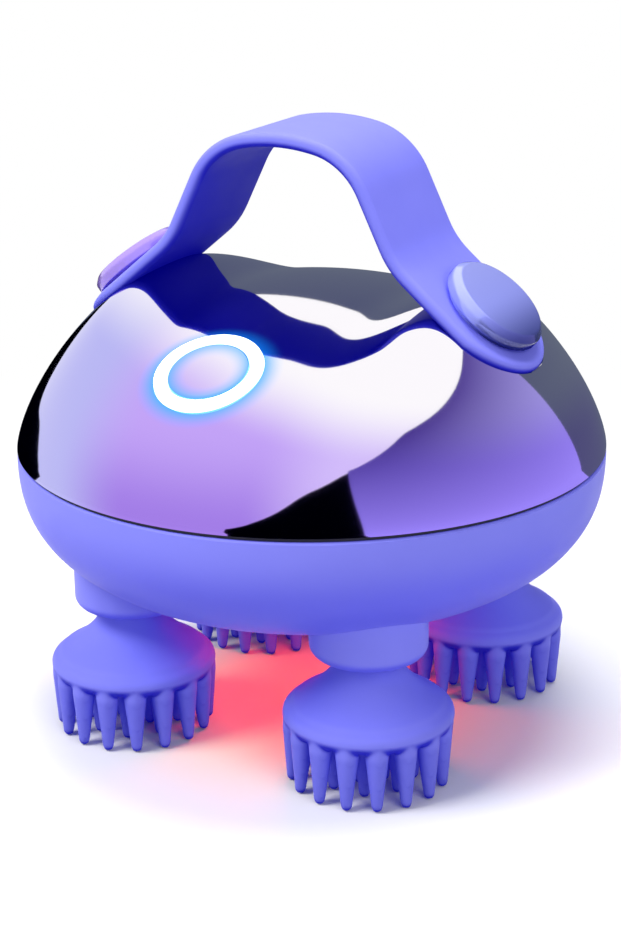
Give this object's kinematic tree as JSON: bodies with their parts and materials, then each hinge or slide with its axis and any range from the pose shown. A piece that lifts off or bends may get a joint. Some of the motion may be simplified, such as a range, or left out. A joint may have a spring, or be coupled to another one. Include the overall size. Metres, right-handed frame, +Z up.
{
  "type": "electric scalp massager",
  "caption": "Bun-shaped electric scalp massager with a plated cover, a soft strap handle, a lit power button and geared rotating massage heads with soft nubs.",
  "frame": {"origin": "on the ground, under the centre of the round body, at the height of the nubs' tips", "axes": "+Z up along the body's axis, -Y towards the power button, +X towards the right end cap of the strap"},
  "size_m": [0.118, 0.118, 0.121],
  "materials": {
    "soft_touch_shell": "soft-touch matt violet-blue moulding",
    "plated_cover": "mirror plating in lavender over plastic",
    "plated_cap": "mirror plating in deep violet over plastic",
    "silicone": "matt violet-blue silicone",
    "dark_rubber": "black rubber",
    "white_nylon": "natural moulded plastic",
    "steel": "turned steel",
    "bronze": "sintered bronze",
    "light_guide": "clear white light guide, glowing",
    "red_lens": "clear red window",
    "circuit_board": "green board with solder mask",
    "black_plastic": "black moulding",
    "white_led": "white light-emitting diodes",
    "red_led": "red light-emitting diodes",
    "cell_wrap": "plastic sleeve over a steel can"
  },
  "bodies": {
    "body": {"lower_shell": "soft_touch_shell", "top_cover": "plated_cover", "cover_gasket": "dark_rubber", "strap": "silicone", "left_cap": "plated_cap", "right_cap": "plated_cap", "strap_screws": "steel", "cover_screws": "steel", "screw_plugs": "silicone", "light_ring": "light_guide", "button_boot": "dark_rubber", "button_spring": "steel", "main_board": "circuit_board", "tact_switch": "black_plastic", "ring_leds": "white_led", "board_screws": "steel", "gearbox_base": "white_nylon", "gearbox_middle": "white_nylon", "gearbox_cover": "white_nylon", "gearbox_screws": "steel", "shaft_bushes": "bronze", "motor_can": "steel", "motor_screws": "steel", "lower_bushes": "bronze", "upper_bushes": "bronze", "spindle_seals": "dark_rubber", "battery_cradle": "black_plastic", "battery_cell": "cell_wrap", "led_window": "red_lens", "led_board": "circuit_board", "red_leds": "red_led", "charge_board": "circuit_board", "charge_socket": "steel"},
    "drive_a": {"spindle_a": "steel", "drive_gear_a": "white_nylon"},
    "drive_b": {"spindle_b": "steel", "drive_gear_b": "white_nylon"},
    "drive_c": {"spindle_c": "steel", "drive_gear_c": "white_nylon"},
    "drive_d": {"spindle_d": "steel", "drive_gear_d": "white_nylon"},
    "head_a": {"head_hub_a": "white_nylon", "massage_head_a": "silicone"},
    "head_b": {"head_hub_b": "white_nylon", "massage_head_b": "silicone"},
    "head_c": {"head_hub_c": "white_nylon", "massage_head_c": "silicone"},
    "head_d": {"head_hub_d": "white_nylon", "massage_head_d": "silicone"},
    "sun": {"sun_shaft": "steel", "sun_gear": "white_nylon", "wheel_gear": "white_nylon"},
    "idler": {"idler_shaft": "steel", "idler_gear": "white_nylon"},
    "rotor": {"motor_shaft": "steel", "pinion": "bronze"},
    "button": {"power_button": "plated_cover"},
    "plug": {"port_plug": "silicone"}
  },
  "joints": [
    {"name": "spin_a", "type": "hinge", "parent": "body", "child": "drive_a", "pos_m": [-0.02687, -0.02687, 0.03], "axis": [0, 0, 1], "continuous": true},
    {"name": "spin_b", "type": "hinge", "parent": "body", "child": "drive_b", "pos_m": [0.02687, -0.02687, 0.03], "axis": [0, 0, 1], "continuous": true},
    {"name": "spin_c", "type": "hinge", "parent": "body", "child": "drive_c", "pos_m": [0.02687, 0.02687, 0.03], "axis": [0, 0, 1], "continuous": true},
    {"name": "spin_d", "type": "hinge", "parent": "body", "child": "drive_d", "pos_m": [-0.02687, 0.02687, 0.03], "axis": [0, 0, 1], "continuous": true},
    {"name": "pull_a", "type": "slide", "parent": "drive_a", "child": "head_a", "axis": [0, 0, -1], "range_m": [0, 0.018]},
    {"name": "pull_b", "type": "slide", "parent": "drive_b", "child": "head_b", "axis": [0, 0, -1], "range_m": [0, 0.018]},
    {"name": "pull_c", "type": "slide", "parent": "drive_c", "child": "head_c", "axis": [0, 0, -1], "range_m": [0, 0.018]},
    {"name": "pull_d", "type": "slide", "parent": "drive_d", "child": "head_d", "axis": [0, 0, -1], "range_m": [0, 0.018]},
    {"name": "sun_spin", "type": "hinge", "parent": "body", "child": "sun", "pos_m": [0, 0, 0.046], "axis": [0, 0, 1], "continuous": true},
    {"name": "idler_spin", "type": "hinge", "parent": "body", "child": "idler", "pos_m": [0, 0.0135, 0.055], "axis": [0, 0, 1], "continuous": true},
    {"name": "rotor_spin", "type": "hinge", "parent": "body", "child": "rotor", "pos_m": [0, 0, 0.056], "axis": [0, 0, 1], "continuous": true},
    {"name": "button_press", "type": "slide", "parent": "body", "child": "button", "axis": [0, 0.4294, -0.9031], "range_m": [0, 0.0008], "stiffness_N_per_m": 600, "deforming": ["button_spring"]},
    {"name": "plug_pull", "type": "slide", "parent": "body", "child": "plug", "axis": [0, 1, 0], "range_m": [0, 0.006]}
  ],
  "couplings": [
    {"joint": "spin_b", "follows": "spin_a", "ratio": 1},
    {"joint": "spin_c", "follows": "spin_a", "ratio": 1},
    {"joint": "spin_d", "follows": "spin_a", "ratio": 1},
    {"joint": "sun_spin", "follows": "spin_a", "ratio": -0.58333},
    {"joint": "idler_spin", "follows": "spin_a", "ratio": 1.6042},
    {"joint": "rotor_spin", "follows": "spin_a", "ratio": -6.4167}
  ]
}
